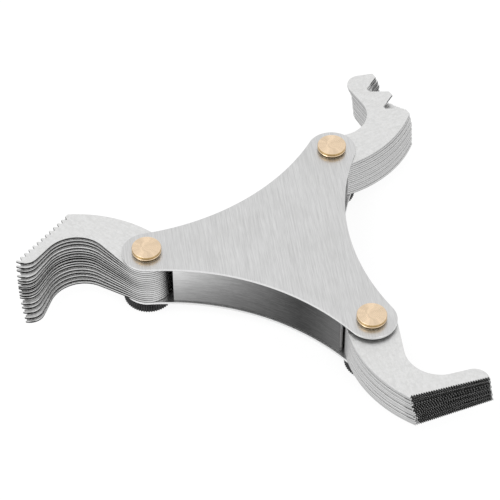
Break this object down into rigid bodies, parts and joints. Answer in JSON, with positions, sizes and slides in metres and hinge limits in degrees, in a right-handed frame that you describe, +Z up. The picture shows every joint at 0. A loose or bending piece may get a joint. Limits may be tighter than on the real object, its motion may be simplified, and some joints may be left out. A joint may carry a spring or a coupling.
{
  "type": "screw pitch gauge",
  "caption": "Three-armed screw pitch gauge: fans of toothed steel leaves pivoting on brass screws between two plates with hollow sides, with knurled nuts below.",
  "frame": {"origin": "centre of the bottom plate's underside, midway between the three pivots", "axes": "+Z up out of the top plate, towards the screw heads; -X from the centre to the pivot of the medium leaves"},
  "size_m": [0.0806, 0.0816, 0.0129],
  "materials": {
    "plate_steel": "satin, fine brushing across the frame",
    "leaf_steel": "matte rolled strip with sheared edges",
    "brass": "bright turned",
    "blackened_steel": "blackened, straight knurl"
  },
  "bodies": {
    "frame": {"bottom_plate": "plate_steel", "top_plate": "plate_steel", "wall_medium_coarse": "plate_steel", "wall_coarse_fine": "plate_steel", "wall_fine_medium": "plate_steel", "screw_medium": "brass", "screw_coarse": "brass", "screw_fine": "brass"},
    "leaf_medium_01": {"leaf_medium_01": "leaf_steel"},
    "leaf_medium_02": {"leaf_medium_02": "leaf_steel"},
    "leaf_medium_03": {"leaf_medium_03": "leaf_steel"},
    "leaf_medium_04": {"leaf_medium_04": "leaf_steel"},
    "leaf_medium_05": {"leaf_medium_05": "leaf_steel"},
    "leaf_medium_06": {"leaf_medium_06": "leaf_steel"},
    "leaf_medium_07": {"leaf_medium_07": "leaf_steel"},
    "leaf_medium_08": {"leaf_medium_08": "leaf_steel"},
    "leaf_medium_09": {"leaf_medium_09": "leaf_steel"},
    "leaf_medium_10": {"leaf_medium_10": "leaf_steel"},
    "leaf_medium_11": {"leaf_medium_11": "leaf_steel"},
    "leaf_medium_12": {"leaf_medium_12": "leaf_steel"},
    "leaf_medium_13": {"leaf_medium_13": "leaf_steel"},
    "leaf_medium_14": {"leaf_medium_14": "leaf_steel"},
    "leaf_medium_15": {"leaf_medium_15": "leaf_steel"},
    "leaf_medium_16": {"leaf_medium_16": "leaf_steel"},
    "nut_medium": {"nut_medium": "blackened_steel"},
    "leaf_coarse_01": {"leaf_coarse_01": "leaf_steel"},
    "leaf_coarse_02": {"leaf_coarse_02": "leaf_steel"},
    "leaf_coarse_03": {"leaf_coarse_03": "leaf_steel"},
    "leaf_coarse_04": {"leaf_coarse_04": "leaf_steel"},
    "leaf_coarse_05": {"leaf_coarse_05": "leaf_steel"},
    "leaf_coarse_06": {"leaf_coarse_06": "leaf_steel"},
    "leaf_coarse_07": {"leaf_coarse_07": "leaf_steel"},
    "leaf_coarse_08": {"leaf_coarse_08": "leaf_steel"},
    "leaf_coarse_09": {"leaf_coarse_09": "leaf_steel"},
    "leaf_coarse_10": {"leaf_coarse_10": "leaf_steel"},
    "leaf_coarse_11": {"leaf_coarse_11": "leaf_steel"},
    "leaf_coarse_12": {"leaf_coarse_12": "leaf_steel"},
    "leaf_coarse_13": {"leaf_coarse_13": "leaf_steel"},
    "leaf_coarse_14": {"leaf_coarse_14": "leaf_steel"},
    "leaf_coarse_15": {"leaf_coarse_15": "leaf_steel"},
    "leaf_coarse_16": {"leaf_coarse_16": "leaf_steel"},
    "nut_coarse": {"nut_coarse": "blackened_steel"},
    "leaf_fine_01": {"leaf_fine_01": "leaf_steel"},
    "leaf_fine_02": {"leaf_fine_02": "leaf_steel"},
    "leaf_fine_03": {"leaf_fine_03": "leaf_steel"},
    "leaf_fine_04": {"leaf_fine_04": "leaf_steel"},
    "leaf_fine_05": {"leaf_fine_05": "leaf_steel"},
    "leaf_fine_06": {"leaf_fine_06": "leaf_steel"},
    "leaf_fine_07": {"leaf_fine_07": "leaf_steel"},
    "leaf_fine_08": {"leaf_fine_08": "leaf_steel"},
    "leaf_fine_09": {"leaf_fine_09": "leaf_steel"},
    "leaf_fine_10": {"leaf_fine_10": "leaf_steel"},
    "leaf_fine_11": {"leaf_fine_11": "leaf_steel"},
    "leaf_fine_12": {"leaf_fine_12": "leaf_steel"},
    "leaf_fine_13": {"leaf_fine_13": "leaf_steel"},
    "leaf_fine_14": {"leaf_fine_14": "leaf_steel"},
    "leaf_fine_15": {"leaf_fine_15": "leaf_steel"},
    "nut_fine": {"nut_fine": "blackened_steel"}
  },
  "joints": [
    {"name": "leaf_medium_01_turn", "type": "hinge", "parent": "frame", "child": "leaf_medium_01", "pos_m": [-0.025, 0, 0.00859], "axis": [0, 0, 1], "range_deg": [-9, 136.5]},
    {"name": "leaf_medium_02_turn", "type": "hinge", "parent": "frame", "child": "leaf_medium_02", "pos_m": [-0.025, 0, 0.00806], "axis": [0, 0, 1], "range_deg": [-11, 134.5]},
    {"name": "leaf_medium_03_turn", "type": "hinge", "parent": "frame", "child": "leaf_medium_03", "pos_m": [-0.025, 0, 0.00754], "axis": [0, 0, 1], "range_deg": [-12, 133.5]},
    {"name": "leaf_medium_04_turn", "type": "hinge", "parent": "frame", "child": "leaf_medium_04", "pos_m": [-0.025, 0, 0.00702], "axis": [0, 0, 1], "range_deg": [-14.5, 131]},
    {"name": "leaf_medium_05_turn", "type": "hinge", "parent": "frame", "child": "leaf_medium_05", "pos_m": [-0.025, 0, 0.00651], "axis": [0, 0, 1], "range_deg": [-15.5, 130]},
    {"name": "leaf_medium_06_turn", "type": "hinge", "parent": "frame", "child": "leaf_medium_06", "pos_m": [-0.025, 0, 0.00598], "axis": [0, 0, 1], "range_deg": [-16, 129.5]},
    {"name": "leaf_medium_07_turn", "type": "hinge", "parent": "frame", "child": "leaf_medium_07", "pos_m": [-0.025, 0, 0.00547], "axis": [0, 0, 1], "range_deg": [-17, 128.5]},
    {"name": "leaf_medium_08_turn", "type": "hinge", "parent": "frame", "child": "leaf_medium_08", "pos_m": [-0.025, 0, 0.00494], "axis": [0, 0, 1], "range_deg": [-17, 128.5]},
    {"name": "leaf_medium_09_turn", "type": "hinge", "parent": "frame", "child": "leaf_medium_09", "pos_m": [-0.025, 0, 0.00443], "axis": [0, 0, 1], "range_deg": [-18, 127.5]},
    {"name": "leaf_medium_10_turn", "type": "hinge", "parent": "frame", "child": "leaf_medium_10", "pos_m": [-0.025, 0, 0.00391], "axis": [0, 0, 1], "range_deg": [-19, 126.5]},
    {"name": "leaf_medium_11_turn", "type": "hinge", "parent": "frame", "child": "leaf_medium_11", "pos_m": [-0.025, 0, 0.00338], "axis": [0, 0, 1], "range_deg": [-19, 126.5]},
    {"name": "leaf_medium_12_turn", "type": "hinge", "parent": "frame", "child": "leaf_medium_12", "pos_m": [-0.025, 0, 0.00286], "axis": [0, 0, 1], "range_deg": [-21.5, 124]},
    {"name": "leaf_medium_13_turn", "type": "hinge", "parent": "frame", "child": "leaf_medium_13", "pos_m": [-0.025, 0, 0.00234], "axis": [0, 0, 1], "range_deg": [-23, 122.5]},
    {"name": "leaf_medium_14_turn", "type": "hinge", "parent": "frame", "child": "leaf_medium_14", "pos_m": [-0.025, 0, 0.00183], "axis": [0, 0, 1], "range_deg": [-25, 120.5]},
    {"name": "leaf_medium_15_turn", "type": "hinge", "parent": "frame", "child": "leaf_medium_15", "pos_m": [-0.025, 0, 0.0013], "axis": [0, 0, 1], "range_deg": [-27, 118.5]},
    {"name": "leaf_medium_16_turn", "type": "hinge", "parent": "frame", "child": "leaf_medium_16", "pos_m": [-0.025, 0, 0.00078], "axis": [0, 0, 1], "range_deg": [-28, 117.5]},
    {"name": "nut_medium_turn", "type": "hinge", "parent": "frame", "child": "nut_medium", "pos_m": [-0.025, 0, -0.0011], "axis": [0, 0, 1], "continuous": true},
    {"name": "leaf_coarse_01_turn", "type": "hinge", "parent": "frame", "child": "leaf_coarse_01", "pos_m": [0.0125, 0.02165, 0.00859], "axis": [0, 0, 1], "range_deg": [-16, 139]},
    {"name": "leaf_coarse_02_turn", "type": "hinge", "parent": "frame", "child": "leaf_coarse_02", "pos_m": [0.0125, 0.02165, 0.00806], "axis": [0, 0, 1], "range_deg": [-15.5, 139.5]},
    {"name": "leaf_coarse_03_turn", "type": "hinge", "parent": "frame", "child": "leaf_coarse_03", "pos_m": [0.0125, 0.02165, 0.00754], "axis": [0, 0, 1], "range_deg": [-14.5, 140.5]},
    {"name": "leaf_coarse_04_turn", "type": "hinge", "parent": "frame", "child": "leaf_coarse_04", "pos_m": [0.0125, 0.02165, 0.00702], "axis": [0, 0, 1], "range_deg": [-14.5, 140.5]},
    {"name": "leaf_coarse_05_turn", "type": "hinge", "parent": "frame", "child": "leaf_coarse_05", "pos_m": [0.0125, 0.02165, 0.00651], "axis": [0, 0, 1], "range_deg": [-13.5, 141.5]},
    {"name": "leaf_coarse_06_turn", "type": "hinge", "parent": "frame", "child": "leaf_coarse_06", "pos_m": [0.0125, 0.02165, 0.00598], "axis": [0, 0, 1], "range_deg": [-13.5, 141.5]},
    {"name": "leaf_coarse_07_turn", "type": "hinge", "parent": "frame", "child": "leaf_coarse_07", "pos_m": [0.0125, 0.02165, 0.00547], "axis": [0, 0, 1], "range_deg": [-13.5, 141.5]},
    {"name": "leaf_coarse_08_turn", "type": "hinge", "parent": "frame", "child": "leaf_coarse_08", "pos_m": [0.0125, 0.02165, 0.00494], "axis": [0, 0, 1], "range_deg": [-13, 142]},
    {"name": "leaf_coarse_09_turn", "type": "hinge", "parent": "frame", "child": "leaf_coarse_09", "pos_m": [0.0125, 0.02165, 0.00443], "axis": [0, 0, 1], "range_deg": [-13.5, 141.5]},
    {"name": "leaf_coarse_10_turn", "type": "hinge", "parent": "frame", "child": "leaf_coarse_10", "pos_m": [0.0125, 0.02165, 0.00391], "axis": [0, 0, 1], "range_deg": [-13.5, 141.5]},
    {"name": "leaf_coarse_11_turn", "type": "hinge", "parent": "frame", "child": "leaf_coarse_11", "pos_m": [0.0125, 0.02165, 0.00338], "axis": [0, 0, 1], "range_deg": [-13, 142]},
    {"name": "leaf_coarse_12_turn", "type": "hinge", "parent": "frame", "child": "leaf_coarse_12", "pos_m": [0.0125, 0.02165, 0.00286], "axis": [0, 0, 1], "range_deg": [-13.5, 141.5]},
    {"name": "leaf_coarse_13_turn", "type": "hinge", "parent": "frame", "child": "leaf_coarse_13", "pos_m": [0.0125, 0.02165, 0.00234], "axis": [0, 0, 1], "range_deg": [-13, 142]},
    {"name": "leaf_coarse_14_turn", "type": "hinge", "parent": "frame", "child": "leaf_coarse_14", "pos_m": [0.0125, 0.02165, 0.00183], "axis": [0, 0, 1], "range_deg": [-13, 142]},
    {"name": "leaf_coarse_15_turn", "type": "hinge", "parent": "frame", "child": "leaf_coarse_15", "pos_m": [0.0125, 0.02165, 0.0013], "axis": [0, 0, 1], "range_deg": [-13, 142]},
    {"name": "leaf_coarse_16_turn", "type": "hinge", "parent": "frame", "child": "leaf_coarse_16", "pos_m": [0.0125, 0.02165, 0.00078], "axis": [0, 0, 1], "range_deg": [-12.5, 142.5]},
    {"name": "nut_coarse_turn", "type": "hinge", "parent": "frame", "child": "nut_coarse", "pos_m": [0.0125, 0.02165, -0.0011], "axis": [0, 0, 1], "continuous": true},
    {"name": "leaf_fine_01_turn", "type": "hinge", "parent": "frame", "child": "leaf_fine_01", "pos_m": [0.0125, -0.02165, 0.00806], "axis": [0, 0, 1], "range_deg": [-30, 112]},
    {"name": "leaf_fine_02_turn", "type": "hinge", "parent": "frame", "child": "leaf_fine_02", "pos_m": [0.0125, -0.02165, 0.00754], "axis": [0, 0, 1], "range_deg": [-31, 111]},
    {"name": "leaf_fine_03_turn", "type": "hinge", "parent": "frame", "child": "leaf_fine_03", "pos_m": [0.0125, -0.02165, 0.00702], "axis": [0, 0, 1], "range_deg": [-30.5, 111.5]},
    {"name": "leaf_fine_04_turn", "type": "hinge", "parent": "frame", "child": "leaf_fine_04", "pos_m": [0.0125, -0.02165, 0.00651], "axis": [0, 0, 1], "range_deg": [-31.5, 110.5]},
    {"name": "leaf_fine_05_turn", "type": "hinge", "parent": "frame", "child": "leaf_fine_05", "pos_m": [0.0125, -0.02165, 0.00598], "axis": [0, 0, 1], "range_deg": [-31.5, 110.5]},
    {"name": "leaf_fine_06_turn", "type": "hinge", "parent": "frame", "child": "leaf_fine_06", "pos_m": [0.0125, -0.02165, 0.00547], "axis": [0, 0, 1], "range_deg": [-31.5, 110.5]},
    {"name": "leaf_fine_07_turn", "type": "hinge", "parent": "frame", "child": "leaf_fine_07", "pos_m": [0.0125, -0.02165, 0.00494], "axis": [0, 0, 1], "range_deg": [-32.5, 109.5]},
    {"name": "leaf_fine_08_turn", "type": "hinge", "parent": "frame", "child": "leaf_fine_08", "pos_m": [0.0125, -0.02165, 0.00443], "axis": [0, 0, 1], "range_deg": [-32, 110]},
    {"name": "leaf_fine_09_turn", "type": "hinge", "parent": "frame", "child": "leaf_fine_09", "pos_m": [0.0125, -0.02165, 0.00391], "axis": [0, 0, 1], "range_deg": [-33, 109]},
    {"name": "leaf_fine_10_turn", "type": "hinge", "parent": "frame", "child": "leaf_fine_10", "pos_m": [0.0125, -0.02165, 0.00338], "axis": [0, 0, 1], "range_deg": [-33.5, 108.5]},
    {"name": "leaf_fine_11_turn", "type": "hinge", "parent": "frame", "child": "leaf_fine_11", "pos_m": [0.0125, -0.02165, 0.00286], "axis": [0, 0, 1], "range_deg": [-33, 109]},
    {"name": "leaf_fine_12_turn", "type": "hinge", "parent": "frame", "child": "leaf_fine_12", "pos_m": [0.0125, -0.02165, 0.00234], "axis": [0, 0, 1], "range_deg": [-34.5, 107.5]},
    {"name": "leaf_fine_13_turn", "type": "hinge", "parent": "frame", "child": "leaf_fine_13", "pos_m": [0.0125, -0.02165, 0.00183], "axis": [0, 0, 1], "range_deg": [-34, 108]},
    {"name": "leaf_fine_14_turn", "type": "hinge", "parent": "frame", "child": "leaf_fine_14", "pos_m": [0.0125, -0.02165, 0.0013], "axis": [0, 0, 1], "range_deg": [-34.5, 107.5]},
    {"name": "leaf_fine_15_turn", "type": "hinge", "parent": "frame", "child": "leaf_fine_15", "pos_m": [0.0125, -0.02165, 0.00078], "axis": [0, 0, 1], "range_deg": [-35, 107]},
    {"name": "nut_fine_turn", "type": "hinge", "parent": "frame", "child": "nut_fine", "pos_m": [0.0125, -0.02165, -0.0011], "axis": [0, 0, 1], "continuous": true}
  ]
}
